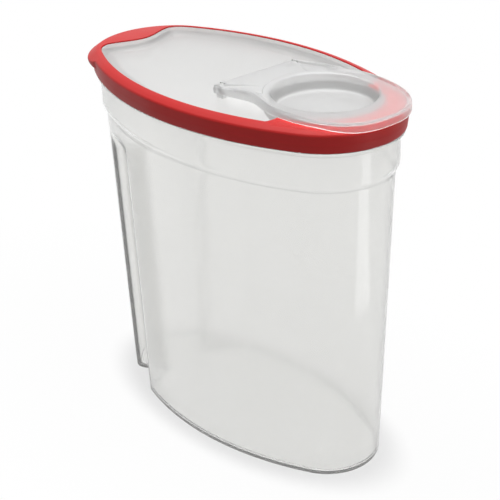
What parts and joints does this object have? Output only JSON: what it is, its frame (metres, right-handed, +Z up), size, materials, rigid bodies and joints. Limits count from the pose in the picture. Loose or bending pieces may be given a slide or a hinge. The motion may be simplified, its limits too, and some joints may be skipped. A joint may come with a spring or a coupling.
{
  "type": "flip-top cereal keeper",
  "caption": "Tall oval translucent food keeper with finger grips at the rear, a lift-off lid with a coloured rim and pull tab, and a hinged pour flap that plugs a round opening.",
  "frame": {"origin": "middle of the base, on the surface that the container stands on", "axes": "+Z up, +X towards the pouring nose, +Y across the container"},
  "size_m": [0.2868, 0.1514, 0.2797],
  "materials": {
    "clear_body": "translucent moulded polypropylene, smooth satin gloss",
    "red_rim": "opaque soft red moulding, satin gloss",
    "clear_panel": "translucent moulded polypropylene, smooth satin gloss",
    "clear_flap": "translucent moulded polypropylene, smooth gloss"
  },
  "bodies": {
    "container": {"container": "clear_body"},
    "lid": {"lid_rim": "red_rim", "lid_panel": "clear_panel"},
    "flap": {"pour_flap": "clear_flap"}
  },
  "joints": [
    {"name": "lid_lift", "type": "slide", "parent": "container", "child": "lid", "axis": [0, 0, 1], "range_m": [0, 0.12]},
    {"name": "flap_hinge", "type": "hinge", "parent": "lid", "child": "flap", "pos_m": [0.018, 0, 0.272], "axis": [0, -1, 0], "range_deg": [0, 110]}
  ]
}
